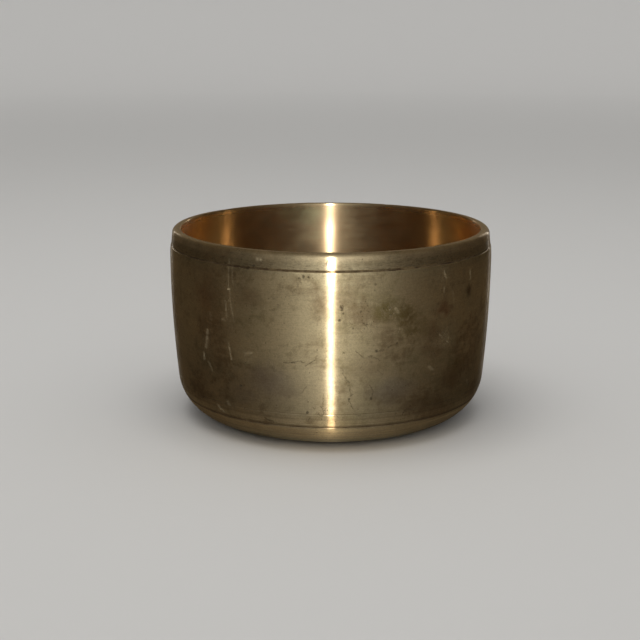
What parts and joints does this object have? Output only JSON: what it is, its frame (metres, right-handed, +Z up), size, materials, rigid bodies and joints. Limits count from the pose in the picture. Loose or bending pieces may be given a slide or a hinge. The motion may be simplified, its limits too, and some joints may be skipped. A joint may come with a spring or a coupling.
{
  "type": "singing bowl",
  "caption": "Upright-walled brass singing bowl with a flat base, a rounded thick rim and an engraved ring below the lip.",
  "frame": {"origin": "centre of the flat base, on the plane the bowl rests on", "axes": "+Z up along the axis of revolution, out of the mouth"},
  "size_m": [0.15, 0.15, 0.088],
  "materials": {
    "cast_brass": "lathe-turned, worn satin with brown patina"
  },
  "bodies": {
    "root": {"bowl": "cast_brass"}
  },
  "joints": []
}
